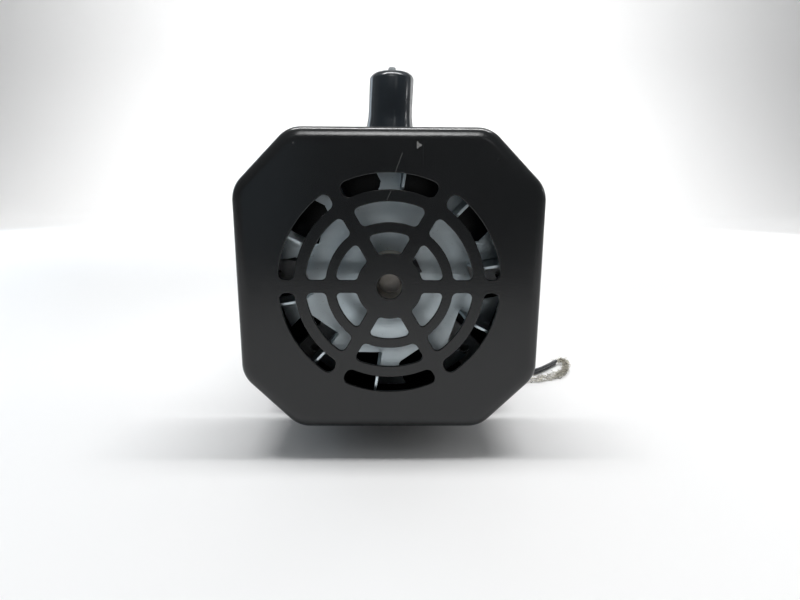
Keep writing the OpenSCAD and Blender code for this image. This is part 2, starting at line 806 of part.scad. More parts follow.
module base_plate() {
    y0 = 34;
    y1 = bell_back;
    r = 6;
    color([0.22, 0.23, 0.24]) placed() difference() {
        translate([0, 0, base_top - base_t]) linear_extrude(base_t) union() {
            translate([r - base_w / 2, y0]) square([base_w - 2 * r, y1 - y0]);
            translate([-base_w / 2, y0 + r]) square([base_w, y1 - y0 - 2 * r]);
            for (x = [-1, 1], y = [y0 + r, y1 - r]) translate([x * (base_w / 2 - r), y]) circle(r);
        }
        for (x = [-1, 1], y = [-1, 1])
            post(x * mount_dx / 2, mount_mid_y + y * mount_dy / 2, 0, base_top + eps, mount_hole_r);
        at_feet() post(0, 0, 0, base_top + eps, m4_r);
        base_screw_places() post(0, 0, 0, base_top + eps, m4_r + 0.2);
    }
}

module base_screw_places() {
    for (x = [-12, 12]) translate([x, 57, 0]) children();
    for (x = [-18, 18]) translate([x, bell_back - 7, 0]) children();
}

module base_screws() {
    color("silver") placed() base_screw_places() {
        post(0, 0, base_top - base_t, base_top + 7, m4_r - fit);
        post(0, 0, base_top - base_t - 2.6, base_top - base_t, 3.8);
    }
}

module rubber_feet() {
    top = base_top - base_t;
    color([0.12, 0.12, 0.12]) placed() at_feet() rotate_extrude() difference() {
        polygon([[0, 0], [foot_r - 1, 0], [foot_r, 1], [foot_r - 1.5, top], [0, top]]);
        square([4.2, 5]);
        square([m4_r + fit, top + eps]);
    }
}

module foot_screws() {
    color("silver") placed() at_feet() {
        post(0, 0, 5, base_top, m4_r - fit);
        post(0, 0, 2.4, 5, 3.8);
    }
}

// ---- Lead ----

module lead_grommet() {
    color([0.1, 0.1, 0.1]) placed() translate(lead_exit) rotate([0, 90, 0])
        rotate_extrude() polygon([[lead_r + 0.05, -4.5], [5.4, -4.5], [5.4, -3.05], [3.95, -3.05],
            [3.95, 0.05], [5.4, 0.05], [5.4, 1.5], [3.4, 2.5], [2.5, 8], [lead_r + 0.05, 8]]);
}

function unit(v) = v / norm(v);
function heading(route, i) =
    unit(route[min(i + 1, len(route) - 1)] - route[max(i - 1, 0)]);

// Points of one ring of the tube, square to the route
function tube_ring(route, i, r, sides) =
    let (t = heading(route, i), n = unit(cross(t, [0, 0, 1])), b = cross(n, t))
    [for (k = [0:sides - 1]) route[i] + r * (cos(k * 360 / sides) * n + sin(k * 360 / sides) * b)];

module tube(route, r, sides) {
    last = (len(route) - 1) * sides;
    polyhedron(
        points = [for (i = [0:len(route) - 1]) each tube_ring(route, i, r, sides)],
        faces = concat(
            [[for (k = [0:sides - 1]) k]],
            [for (i = [0:len(route) - 2], k = [0:sides - 1])
                let (a = i * sides + k, b = i * sides + (k + 1) % sides) [a, a + sides, b + sides, b]],
            [[for (k = [sides - 1:-1:0]) last + k]]));
}

module lead_cord() { color([0.12, 0.12, 0.13]) placed() tube(lead_route, lead_r, 8); }
module braid_pigtail() { color([0.75, 0.73, 0.68]) placed() tube(braid_route, braid_r, 8); }

front_cover();
cover_screws();
baffle_plate();
baffle_screws();
fan_wheel();
fan_hub();
fan_set_screw();
shaft();
shaft_circlip();
eccentric();
eccentric_set_screw();
eccentric_circlip();
rotor_core();
rotor_cage();
front_bearing_inner();
front_bearing_outer();
front_bearing_balls();
front_bearing_cage();
rear_bearing_inner();
rear_bearing_outer();
rear_bearing_balls();
rear_bearing_cage();
rod_bearing_inner();
rod_bearing_outer();
rod_bearing_balls();
rod_bearing_cage();
bearing_circlip();
wave_washer();
connecting_rod();
upper_clamp_disc();
clamp_screw();
diaphragm();
crankcase();
adapter_plate();
adapter_screws();
valve_plate();
inlet_valve();
outlet_valve();
head_gasket();
head_cover();
head_screws();
outlet_spigot();
spigot_seal();
port_cap();
inlet_filter_cap();
inlet_felt();
motor_front_bell();
stator_core();
stator_windings();
rear_bell();
through_bolts();
bolt_nuts();
base_plate();
base_screws();
rubber_feet();
foot_screws();
lead_grommet();
lead_cord();
braid_pigtail();
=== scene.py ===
import json
import math
import random

import bmesh
import bpy
from mathutils import Matrix, Vector


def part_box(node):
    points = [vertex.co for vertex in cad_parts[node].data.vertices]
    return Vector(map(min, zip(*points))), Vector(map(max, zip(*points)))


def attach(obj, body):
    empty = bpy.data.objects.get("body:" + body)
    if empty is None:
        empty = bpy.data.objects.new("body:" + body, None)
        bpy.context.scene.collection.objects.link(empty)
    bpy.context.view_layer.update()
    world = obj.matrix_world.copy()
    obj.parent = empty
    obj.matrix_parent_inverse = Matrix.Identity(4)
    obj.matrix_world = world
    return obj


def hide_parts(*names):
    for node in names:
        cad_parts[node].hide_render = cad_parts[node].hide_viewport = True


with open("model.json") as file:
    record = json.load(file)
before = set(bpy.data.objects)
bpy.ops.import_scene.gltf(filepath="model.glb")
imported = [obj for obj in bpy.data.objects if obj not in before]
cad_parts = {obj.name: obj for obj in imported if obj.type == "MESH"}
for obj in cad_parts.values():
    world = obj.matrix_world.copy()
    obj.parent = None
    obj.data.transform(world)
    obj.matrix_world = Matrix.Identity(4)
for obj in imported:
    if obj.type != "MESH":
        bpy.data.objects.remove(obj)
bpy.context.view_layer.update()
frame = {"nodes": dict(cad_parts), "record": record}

record = frame["record"]
bodyOf = {n: body for body, names in record["behaviour"]["bodies"].items() for n in names}
coverLow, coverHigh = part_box("front_cover")
faceY = coverLow.y
coverWidth = coverHigh.x - coverLow.x
axisZ = (coverLow.z + coverHigh.z) / 2
fullTurn = 2 * math.pi
quarterTurn = math.pi / 2
weldDistance = 2e-6

# camera, level with the upper part of the cover and looking a little down
cameraSpec = {
    "focal": 24.3,
    "aside": 0.010,            # this and the next two are in cover widths
    "distance": 1.722,
    "rise": 0.342,
    "pitch": 12.63,            # degrees
    "yaw": 0.81,
    "roll": -0.31,
}


def makeCamera(spec):
    data = bpy.data.cameras.new("camera")
    data.lens = spec["focal"]
    data.sensor_width = 36
    data.clip_start = 0.01
    data.dof.use_dof = False
    obj = bpy.data.objects.new("camera", data)
    bpy.context.scene.collection.objects.link(obj)
    turn = Matrix.Rotation(math.radians(-spec["yaw"]), 4, "Z")
    turn = turn @ Matrix.Rotation(quarterTurn - math.radians(spec["pitch"]), 4, "X")
    turn = turn @ Matrix.Rotation(math.radians(-spec["roll"]), 4, "Z")
    place = Vector((spec["aside"], -spec["distance"], spec["rise"])) * coverWidth
    obj.matrix_world = Matrix.Translation(place + Vector((0, faceY, axisZ))) @ turn
    bpy.context.scene.camera = obj


makeCamera(cameraSpec)
print("camera ready")


def link(name, mesh):
    obj = bpy.data.objects.new(name, mesh)
    bpy.context.scene.collection.objects.link(obj)
    return obj


# Turns a bmesh into an object, smooth except along edges sharper than the angle
def toObject(name, bm, sharp=35):
    for face in bm.faces:
        face.smooth = True
    for edge in bm.edges:
        if len(edge.link_faces) == 2:
            edge.smooth = edge.calc_face_angle(0) < math.radians(sharp)
    mesh = bpy.data.meshes.new(name)
    bm.to_mesh(mesh)
    bm.free()
    return link(name, mesh)


def bevelEdges(obj, width, segments=2, angle=35):
    mod = obj.modifiers.new("edges", "BEVEL")
    mod.width = width
    mod.segments = segments
    mod.limit_method = "ANGLE"
    mod.angle_limit = math.radians(angle)
    mod.harden_normals = True
    return obj


def evenNormals(obj):
    mod = obj.modifiers.new("normals", "WEIGHTED_NORMAL")
    mod.mode = "FACE_AREA"
    mod.weight = 90
    mod.keep_sharp = True


# Thickens an open sheet inwards, breaks its edges and evens its shading
def makeSheet(obj, spec):
    mod = obj.modifiers.new("sheet", "SOLIDIFY")
    mod.thickness = spec["sheet"]
    mod.offset = -1
    mod.use_even_offset = True
    bevelEdges(obj, spec["bevel"], 2, spec["sharp"])
    evenNormals(obj)


def addLoop(bm, points, closed=True):
    verts = [bm.verts.new(p) for p in points]
    last = len(verts) if closed else len(verts) - 1
    return verts, [bm.edges.new((verts[i], verts[(i + 1) % len(verts)])) for i in range(last)]


# Extrudes a loop of edges and lays the copy on new points, which come in the loop's order
def growLoop(bm, verts, edges, points):
    made = bmesh.ops.extrude_edge_only(bm, edges=edges)["geom"]
    fresh = {g for g in made if isinstance(g, bmesh.types.BMVert)}
    copies = [next(e.other_vert(v) for e in v.link_edges if e.other_vert(v) in fresh)
              for v in verts]
    for copy, p in zip(copies, points):
        copy.co = p
    count = len(copies)
    return copies, [bm.edges.get((copies[i], copies[(i + 1) % count])) for i in range(count)]


# A closed profile of (radius, height), spun round an upright axis
def spin(name, profile, centre, steps, sharp):
    bm = bmesh.new()
    verts, edges = addLoop(bm, [Vector((r, 0, h)) for r, h in profile])
    bmesh.ops.spin(bm, geom=verts + edges, cent=(0, 0, 0), axis=(0, 0, 1), angle=fullTurn,
                   steps=steps, use_merge=True, use_duplicate=False)
    bmesh.ops.remove_doubles(bm, verts=bm.verts, dist=1e-7)
    bmesh.ops.recalc_face_normals(bm, faces=bm.faces)
    bmesh.ops.translate(bm, verts=bm.verts, vec=centre)
    return toObject(name, bm, sharp)


# Gives a piece its finish and its body, and hides the CAD nodes that it stands for
def settle(obj, material, node, *others):
    obj.data.materials.append(material)
    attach(obj, bodyOf[node])
    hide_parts(node, *others)
    return obj


# A smooth line through given points
def smoothLine(points, steps=8):
    line = []
    last = len(points) - 1
    for i in range(last):
        p0, p1 = points[max(i - 1, 0)], points[i]
        p2, p3 = points[i + 1], points[min(i + 2, last)]
        for j in range(steps):
            t = j / steps
            line.append(0.5 * (2 * p1 + (p2 - p0) * t + (2 * p0 - 5 * p1 + 4 * p2 - p3) * t * t
                               + (3 * p1 - p0 - 3 * p2 + p3) * t ** 3))
    line.append(points[last])
    return line


def lineLength(line):
    return sum((b - a).length for a, b in zip(line, line[1:]))


# Sideways and upward directions at each point of a line
def lineFrames(line):
    frames = []
    for i in range(len(line)):
        ahead = (line[min(i + 1, len(line) - 1)] - line[max(i - 1, 0)]).normalized()
        aside = ahead.cross(Vector((0, 0, 1)))
        aside = aside.normalized() if aside.length > 0.01 else frames[-1][0]
        frames.append((aside, aside.cross(ahead)))
    return frames


# Thin round wires along many lines, as one mesh
def wires(name, lines, radius, resolution=2):
    data = bpy.data.curves.new(name, "CURVE")
    data.dimensions = "3D"
    data.bevel_depth = radius
    data.bevel_resolution = resolution
    data.use_fill_caps = True
    for line in lines:
        spline = data.splines.new("POLY")
        spline.points.add(len(line) - 1)
        for point, place in zip(spline.points, line):
            point.co = (*place, 1)
    curve = bpy.data.objects.new(name + "Curve", data)
    bpy.context.scene.collection.objects.link(curve)
    bpy.context.view_layer.update()
    shaped = curve.evaluated_get(bpy.context.evaluated_depsgraph_get())
    mesh = bpy.data.meshes.new_from_object(shaped)
    bpy.data.objects.remove(curve)
    mesh.name = name
    for polygon in mesh.polygons:
        polygon.use_smooth = True
    return link(name, mesh)


def groupOf(name, inputs, outputs):
    group = bpy.data.node_groups.new(name, "ShaderNodeTree")
    for label, kind, value in inputs:
        socket = group.interface.new_socket(label, in_out="INPUT", socket_type=kind)
        if value is not None:
            socket.default_value = value
    for label, kind in outputs:
        group.interface.new_socket(label, in_out="OUTPUT", socket_type=kind)
    source = group.nodes.new("NodeGroupInput")
    sink = group.nodes.new("NodeGroupOutput")
    return group, source, sink


# Soft clouds of tone: a value from 0 to 1
def makeToneGroup():
    group, source, sink = groupOf(
        "unevenTone",
        [("Vector", "NodeSocketVector", None), ("Scale", "NodeSocketFloat", 60.0),
         ("Detail", "NodeSocketFloat", 5.0), ("Low", "NodeSocketFloat", 0.35),
         ("High", "NodeSocketFloat", 0.65)],
        [("Value", "NodeSocketFloat")])
    noise = group.nodes.new("ShaderNodeTexNoise")
    spread = group.nodes.new("ShaderNodeMapRange")
    group.links.new(source.outputs["Vector"], noise.inputs["Vector"])
    group.links.new(source.outputs["Scale"], noise.inputs["Scale"])
    group.links.new(source.outputs["Detail"], noise.inputs["Detail"])
    group.links.new(noise.outputs["Fac"], spread.inputs["Value"])
    group.links.new(source.outputs["Low"], spread.inputs["From Min"])
    group.links.new(source.outputs["High"], spread.inputs["From Max"])
    group.links.new(spread.outputs["Result"], sink.inputs["Value"])
    return group


# Sparse bright marks: stretched noise cut off high, from 0 to 1
def makeMarkGroup():
    group, source, sink = groupOf(
        "fineMarks",
        [("Vector", "NodeSocketVector", None), ("Scale", "NodeSocketFloat", 200.0),
         ("Cut", "NodeSocketFloat", 0.7), ("Soft", "NodeSocketFloat", 0.04)],
        [("Mask", "NodeSocketFloat")])
    noise = group.nodes.new("ShaderNodeTexNoise")
    noise.inputs["Detail"].default_value = 2
    top = group.nodes.new("ShaderNodeMath")
    top.operation = "ADD"
    spread = group.nodes.new("ShaderNodeMapRange")
    group.links.new(source.outputs["Vector"], noise.inputs["Vector"])
    group.links.new(source.outputs["Scale"], noise.inputs["Scale"])
    group.links.new(source.outputs["Cut"], top.inputs[0])
    group.links.new(source.outputs["Soft"], top.inputs[1])
    group.links.new(noise.outputs["Fac"], spread.inputs["Value"])
    group.links.new(source.outputs["Cut"], spread.inputs["From Min"])
    group.links.new(top.outputs["Value"], spread.inputs["From Max"])
    group.links.new(spread.outputs["Result"], sink.inputs["Mask"])
    return group


# A surface's small relief: grain plus fine lines along one direction
def makeReliefGroup():
    group, source, sink = groupOf(
        "surfaceRelief",
        [("Vector", "NodeSocketVector", None), ("Grain", "NodeSocketFloat", 900.0),
         ("Lines", "NodeSocketFloat", 0.0), ("Stretch", "NodeSocketVector", (1, 1, 1))],
        [("Height", "NodeSocketFloat")])
    grain = group.nodes.new("ShaderNodeTexNoise")
    grain.inputs["Detail"].default_value = 3
    scaled = group.nodes.new("ShaderNodeVectorMath")
    scaled.operation = "MULTIPLY"
    lines = group.nodes.new("ShaderNodeTexNoise")
    lines.inputs["Detail"].default_value = 2
    mix = group.nodes.new("ShaderNodeMix")
    group.links.new(source.outputs["Vector"], grain.inputs["Vector"])
    group.links.new(source.outputs["Grain"], grain.inputs["Scale"])
    group.links.new(source.outputs["Vector"], scaled.inputs[0])
    group.links.new(source.outputs["Stretch"], scaled.inputs[1])
    group.links.new(scaled.outputs["Vector"], lines.inputs["Vector"])
    group.links.new(source.outputs["Grain"], lines.inputs["Scale"])
    group.links.new(source.outputs["Lines"], mix.inputs["Factor"])
    group.links.new(grain.outputs["Fac"], mix.inputs["A"])
    group.links.new(lines.outputs["Fac"], mix.inputs["B"])
    group.links.new(mix.outputs["Result"], sink.inputs["Height"])
    return group


# One straight nick: a line of some width between two points
def makeNickGroup():
    group, source, sink = groupOf(
        "straightNick",
        [("Vector", "NodeSocketVector", (0, 0, 0)), ("Start", "NodeSocketVector", (0, 0, 0)),
         ("Along", "NodeSocketVector", (0, 0, 1)), ("Length", "NodeSocketFloat", 0.001),
         ("Width", "NodeSocketFloat", 0.0002)],
        [("Mask", "NodeSocketFloat")])
    nodes, links = group.nodes, group.links

    def vector(operation, *feeds):
        node = nodes.new("ShaderNodeVectorMath")
        node.operation = operation
        for i, feed in enumerate(feeds):
            links.new(feed, node.inputs[i])
        return node

    # how far a point is from the line between the two ends
    away = vector("SUBTRACT", source.outputs["Vector"], source.outputs["Start"])
    gone = vector("DOT_PRODUCT", away.outputs["Vector"], source.outputs["Along"])
    kept = nodes.new("ShaderNodeClamp")
    links.new(gone.outputs["Value"], kept.inputs["Value"])
    links.new(source.outputs["Length"], kept.inputs["Max"])
    foot = vector("SCALE", source.outputs["Along"])
    links.new(kept.outputs["Result"], foot.inputs["Scale"])
    apart = vector("DISTANCE", away.outputs["Vector"], foot.outputs["Vector"])
    mask = nodes.new("ShaderNodeMapRange")
    mask.inputs["To Min"].default_value = 1
    mask.inputs["To Max"].default_value = 0
    links.new(apart.outputs["Value"], mask.inputs["Value"])
    links.new(source.outputs["Width"], mask.inputs["From Max"])
    links.new(mask.outputs["Result"], sink.inputs["Mask"])
    return group


toneGroup = makeToneGroup()
markGroup = makeMarkGroup()
reliefGroup = makeReliefGroup()
nickGroup = makeNickGroup()


def addNode(tree, group, **values):
    node = tree.nodes.new("ShaderNodeGroup")
    node.node_tree = group
    for label, value in values.items():
        node.inputs[label].default_value = value
    return node


# Lays a tone over a colour, as far as a mask and an amount let it
def overlay(tree, colour, mask, amount, tone):
    share = tree.nodes.new("ShaderNodeMath")
    share.operation = "MULTIPLY"
    share.inputs[1].default_value = amount
    tree.links.new(mask, share.inputs[0])
    mixed = tree.nodes.new("ShaderNodeMix")
    mixed.data_type = "RGBA"
    mixed.inputs["B"].default_value = (*tone, 1)
    tree.links.new(colour, mixed.inputs["A"])
    tree.links.new(share.outputs["Value"], mixed.inputs["Factor"])
    return mixed.outputs["Result"]


# A finish from its dictionary: two tones, a range of roughness, marks and relief
def makeFinish(name, spec):
    material = bpy.data.materials.new(name)
    material.use_nodes = True
    tree = material.node_tree
    shader = tree.nodes["Principled BSDF"]
    shader.inputs["Metallic"].default_value = spec.get("metal", 0)
    place = tree.nodes.new("ShaderNodeTexCoord")
    stretched = tree.nodes.new("ShaderNodeMapping")
    stretched.inputs["Scale"].default_value = spec.get("markStretch", (1, 1, 1))
    tree.links.new(place.outputs["Object"], stretched.inputs["Vector"])
    tone = addNode(tree, toneGroup, Scale=spec["toneScale"])
    marks = addNode(tree, markGroup, Scale=spec["markScale"], Cut=spec["markCut"])
    relief = addNode(tree, reliefGroup, Grain=spec["grain"], Lines=spec.get("lines", 0),
                     Stretch=spec.get("lineStretch", (1, 1, 1)))
    tree.links.new(place.outputs["Object"], tone.inputs["Vector"])
    tree.links.new(stretched.outputs["Vector"], marks.inputs["Vector"])
    tree.links.new(place.outputs["Object"], relief.inputs["Vector"])
    tones = tree.nodes.new("ShaderNodeMix")
    tones.data_type = "RGBA"
    tones.inputs["A"].default_value = (*spec["dark"], 1)
    tones.inputs["B"].default_value = (*spec["light"], 1)
    tree.links.new(tone.outputs["Value"], tones.inputs["Factor"])
    colour = overlay(tree, tones.outputs["Result"], marks.outputs["Mask"],
                     spec["markAmount"], spec["mark"])
    for (x, up), (endX, endUp), width, amount in spec.get("nicks", ()):
        first = Vector((x, faceY, axisZ + up))
        last = Vector((endX, faceY, axisZ + endUp))
        nick = addNode(tree, nickGroup, Start=first, Along=(last - first).normalized(),
                       Length=(last - first).length, Width=width)
        tree.links.new(place.outputs["Object"], nick.inputs["Vector"])
        colour = overlay(tree, colour, nick.outputs["Mask"], amount, spec["nickTone"])
    tree.links.new(colour, shader.inputs["Base Color"])
    rough = tree.nodes.new("ShaderNodeMapRange")
    rough.inputs["To Min"].default_value, rough.inputs["To Max"].default_value = spec["rough"]
    tree.links.new(tone.outputs["Value"], rough.inputs["Value"])
    tree.links.new(rough.outputs["Result"], shader.inputs["Roughness"])
    bump = tree.nodes.new("ShaderNodeBump")
    bump.inputs["Strength"].default_value = spec["bump"]
    bump.inputs["Distance"].default_value = spec["depth"]
    tree.links.new(relief.outputs["Height"], bump.inputs["Height"])
    tree.links.new(bump.outputs["Normal"], shader.inputs["Normal"])
    return material


# tones, roughness, marks and relief; a nick is its two ends, across and up from the axis, then its
# half width and its strength
finishes = {
    "coverPaint": {
        "dark": (0.009, 0.010, 0.011), "light": (0.012, 0.013, 0.014), "mark": (0.06, 0.06, 0.06),
        "rough": (0.19, 0.24), "toneScale": 25,
        "markScale": 1400, "markCut": 0.74, "markAmount": 0.5, "markStretch": (1, 1, 0.02),
        "grain": 1500, "bump": 0.12, "depth": 0.0002,
        "nickTone": (0.35, 0.35, 0.34),
        "nicks": [
            ((0.00167, 0.0360), (0.00393, 0.0420), 0.00016, 0.35),
            ((0.00044, 0.0305), (-0.00081, 0.02775), 0.00014, 0.35),
            ((0.0086, 0.0453), (0.0086, 0.0436), 0.00032, 1),
            ((0.0088, 0.0448), (0.0096, 0.0444), 0.0004, 1),
            ((0.0088, 0.0440), (0.0096, 0.0444), 0.0004, 1),
            ((-0.0296, 0.0448), (-0.0295, 0.0450), 0.0003, 0.3),
            ((0.0336, 0.0400), (0.0336, 0.0402), 0.0003, 0.1),
        ],
    },
    "fanSheet": {
        "dark": (0.56, 0.64, 0.68), "light": (0.72, 0.79, 0.82), "mark": (0.35, 0.36, 0.38),
        "metal": 1, "rough": (0.30, 0.42), "toneScale": 45,
        "markScale": 700, "markCut": 0.68, "markAmount": 0.4,
        "grain": 1400, "lines": 0.5, "lineStretch": (0.05, 1, 1), "bump": 0.35, "depth": 0.0002,
    },
    "hubMetal": {
        "dark": (0.42, 0.39, 0.34), "light": (0.60, 0.57, 0.52), "mark": (0.2, 0.17, 0.12),
        "metal": 1, "rough": (0.30, 0.45), "toneScale": 120,
        "markScale": 900, "markCut": 0.62, "markAmount": 0.4,
        "grain": 900, "lines": 0.7, "lineStretch": (1, 12, 1), "bump": 0.2, "depth": 0.0002,
    },
    "shaftSteel": {
        "dark": (0.20, 0.185, 0.165), "light": (0.30, 0.28, 0.26), "mark": (0.12, 0.10, 0.08),
        "metal": 1, "rough": (0.34, 0.44), "toneScale": 160,
        "markScale": 2600, "markCut": 0.66, "markAmount": 0.3,
        "grain": 900, "lines": 0.8, "lineStretch": (1, 14, 1), "bump": 0.2, "depth": 0.0002,
    },
    "brightSteel": {
        "dark": (0.50, 0.51, 0.52), "light": (0.68, 0.68, 0.67), "mark": (0.3, 0.29, 0.26),
        "metal": 1, "rough": (0.22, 0.36), "toneScale": 150,
        "markScale": 900, "markCut": 0.63, "markAmount": 0.4,
        "grain": 1500, "bump": 0.12, "depth": 0.0001,
    },
    "springSteel": {
        "dark": (0.05, 0.05, 0.055), "light": (0.11, 0.11, 0.12), "mark": (0.25, 0.24, 0.22),
        "metal": 0.9, "rough": (0.35, 0.5), "toneScale": 200,
        "markScale": 900, "markCut": 0.66, "markAmount": 0.4,
        "grain": 1500, "bump": 0.15, "depth": 0.0001,
    },
    "casting": {
        "dark": (0.42, 0.43, 0.44), "light": (0.54, 0.55, 0.56), "mark": (0.28, 0.27, 0.25),
        "metal": 0.85, "rough": (0.46, 0.62), "toneScale": 35,
        "markScale": 500, "markCut": 0.64, "markAmount": 0.35,
        "grain": 1100, "bump": 0.45, "depth": 0.0004,
    },
    "rodMetal": {
        "dark": (0.58, 0.59, 0.60), "light": (0.70, 0.70, 0.71), "mark": (0.4, 0.4, 0.4),
        "metal": 1, "rough": (0.32, 0.45), "toneScale": 90,
        "markScale": 700, "markCut": 0.66, "markAmount": 0.3,
        "grain": 900, "lines": 0.5, "lineStretch": (0.08, 1, 1), "bump": 0.2, "depth": 0.0002,
    },
    "lamination": {
        "dark": (0.13, 0.12, 0.11), "light": (0.24, 0.22, 0.20), "mark": (0.30, 0.16, 0.07),
        "metal": 0.7, "rough": (0.42, 0.58), "toneScale": 60,
        "markScale": 300, "markCut": 0.66, "markAmount": 0.45,
        "grain": 1800, "lines": 0.95, "lineStretch": (0.01, 1.1, 0.01),
        "bump": 0.9, "depth": 0.0004,
    },
    "castCage": {
        "dark": (0.6, 0.6, 0.6), "light": (0.7, 0.7, 0.71), "mark": (0.4, 0.4, 0.4),
        "metal": 0.95, "rough": (0.4, 0.55), "toneScale": 80,
        "markScale": 600, "markCut": 0.64, "markAmount": 0.3,
        "grain": 900, "bump": 0.3, "depth": 0.0003,
    },
    "winding": {
        "dark": (0.26, 0.09, 0.025), "light": (0.46, 0.18, 0.06), "mark": (0.15, 0.05, 0.02),
        "metal": 0.6, "rough": (0.22, 0.34), "toneScale": 110,
        "markScale": 500, "markCut": 0.6, "markAmount": 0.4,
        "grain": 1200, "lines": 0.9, "lineStretch": (0.1, 1, 0.1), "bump": 0.6, "depth": 0.0004,
    },
    "cagePlastic": {
        "dark": (0.45, 0.36, 0.2), "light": (0.55, 0.45, 0.28), "mark": (0.3, 0.22, 0.1),
        "rough": (0.4, 0.5), "toneScale": 200,
        "markScale": 800, "markCut": 0.66, "markAmount": 0.3,
        "grain": 1200, "bump": 0.15, "depth": 0.0001,
    },
    "blackRubber": {
        "dark": (0.018, 0.018, 0.019), "light": (0.030, 0.030, 0.031), "mark": (0.12, 0.115, 0.11),
        "rough": (0.62, 0.8), "toneScale": 70,
        "markScale": 700, "markCut": 0.68, "markAmount": 0.35,
        "grain": 1500, "bump": 0.3, "depth": 0.0002,
    },
    "valveRubber": {
        "dark": (0.45, 0.13, 0.02), "light": (0.6, 0.2, 0.04), "mark": (0.7, 0.4, 0.2),
        "rough": (0.4, 0.5), "toneScale": 200,
        "markScale": 900, "markCut": 0.7, "markAmount": 0.2,
        "grain": 1200, "bump": 0.1, "depth": 0.0001,
    },
    "gasketFibre": {
        "dark": (0.07, 0.06, 0.05), "light": (0.13, 0.11, 0.09), "mark": (0.25, 0.22, 0.18),
        "rough": (0.7, 0.85), "toneScale": 300,
        "markScale": 1600, "markCut": 0.6, "markAmount": 0.5,
        "grain": 2000, "bump": 0.4, "depth": 0.0002,
    },
    "sealRubber": {
        "dark": (0.28, 0.035, 0.02), "light": (0.36, 0.05, 0.03), "mark": (0.5, 0.2, 0.15),
        "rough": (0.45, 0.55), "toneScale": 200,
        "markScale": 900, "markCut": 0.7, "markAmount": 0.2,
        "grain": 1200, "bump": 0.1, "depth": 0.0001,
    },
    "spigotBrass": {
        "dark": (0.50, 0.35, 0.12), "light": (0.68, 0.52, 0.22), "mark": (0.25, 0.15, 0.06),
        "metal": 1, "rough": (0.24, 0.38), "toneScale": 120,
        "markScale": 700, "markCut": 0.64, "markAmount": 0.4,
        "grain": 900, "lines": 0.7, "lineStretch": (0.05, 0.05, 1), "bump": 0.2, "depth": 0.0002,
    },
    "capVinyl": {
        "dark": (0.015, 0.020, 0.025), "light": (0.021, 0.027, 0.033), "mark": (0.06, 0.06, 0.06),
        "rough": (0.12, 0.2), "toneScale": 90,
        "markScale": 900, "markCut": 0.73, "markAmount": 0.4,
        "grain": 160, "bump": 0.25, "depth": 0.0003,
    },
    # the nipple's tip: a translucent part, its pale tone partly painted light shining through it
    "capTipLitThrough": {
        "dark": (0.13, 0.15, 0.16), "light": (0.20, 0.22, 0.23), "mark": (0.1, 0.1, 0.1),
        "rough": (0.3, 0.4), "toneScale": 300,
        "markScale": 900, "markCut": 0.73, "markAmount": 0.3,
        "grain": 400, "bump": 0.1, "depth": 0.0002,
    },
    "filterPlastic": {
        "dark": (0.012, 0.012, 0.013), "light": (0.02, 0.02, 0.021), "mark": (0.1, 0.1, 0.1),
        "rough": (0.3, 0.4), "toneScale": 120,
        "markScale": 900, "markCut": 0.7, "markAmount": 0.3,
        "grain": 1500, "bump": 0.15, "depth": 0.0001,
    },
    "felt": {
        "dark": (0.55, 0.51, 0.42), "light": (0.78, 0.74, 0.64), "mark": (0.35, 0.3, 0.22),
        "rough": (0.9, 1.0), "toneScale": 500,
        "markScale": 1800, "markCut": 0.6, "markAmount": 0.5,
        "grain": 2500, "bump": 0.8, "depth": 0.0005,
    },
    "basePaint": {
        "dark": (0.022, 0.023, 0.025), "light": (0.034, 0.035, 0.038), "mark": (0.15, 0.15, 0.15),
        "rough": (0.42, 0.55), "toneScale": 50,
        "markScale": 800, "markCut": 0.71, "markAmount": 0.4,
        "grain": 1300, "bump": 0.4, "depth": 0.0003,
    },
    "leadPlastic": {
        "dark": (0.020, 0.022, 0.026), "light": (0.038, 0.041, 0.047), "mark": (0.1, 0.1, 0.1),
        "rough": (0.2, 0.3), "toneScale": 120,
        "markScale": 900, "markCut": 0.7, "markAmount": 0.3,
        "grain": 900, "bump": 0.2, "depth": 0.0001,
    },
    "tinnedWire": {
        "dark": (0.22, 0.20, 0.15), "light": (0.80, 0.78, 0.70), "mark": (0.45, 0.28, 0.15),
        "metal": 1, "rough": (0.25, 0.4), "toneScale": 900,
        "markScale": 900, "markCut": 0.62, "markAmount": 0.4,
        "grain": 1500, "bump": 0.1, "depth": 0.0001,
    },
}
finish = {name: makeFinish(name, spec) for name, spec in finishes.items()}
print("finishes ready")

# the lead's route and the braid's: across, back from the cover's face, above the floor, in metres
leadSpec = {
    "radius": 0.0017,
    "wireRadius": 0.00085,
    "twists": 3.4,
    "twisted": 0.6,            # share of its length, from the grommet
    "lastTurn": 1.3,           # radians
    "route": [
        (0.036, 0.141, 0.040), (0.042, 0.141, 0.040), (0.048, 0.141, 0.040),
        (0.052, 0.1406, 0.0384), (0.055, 0.1394, 0.034), (0.0566, 0.1377, 0.0275),
        (0.0572, 0.1356, 0.0205), (0.0573, 0.133, 0.0136), (0.057, 0.130, 0.0076),
        (0.0565, 0.1264, 0.0034), (0.0558, 0.122, 0.0018), (0.055, 0.114, 0.0017),
        (0.0544, 0.105, 0.0017), (0.0546, 0.096, 0.0017), (0.0566, 0.0875, 0.0017),
        (0.061, 0.081, 0.0017), (0.0665, 0.0784, 0.0017), (0.0715, 0.0796, 0.0017),
        (0.076, 0.0832, 0.0017), (0.0805, 0.0878, 0.0017), (0.0855, 0.0932, 0.0017),
    ],
}
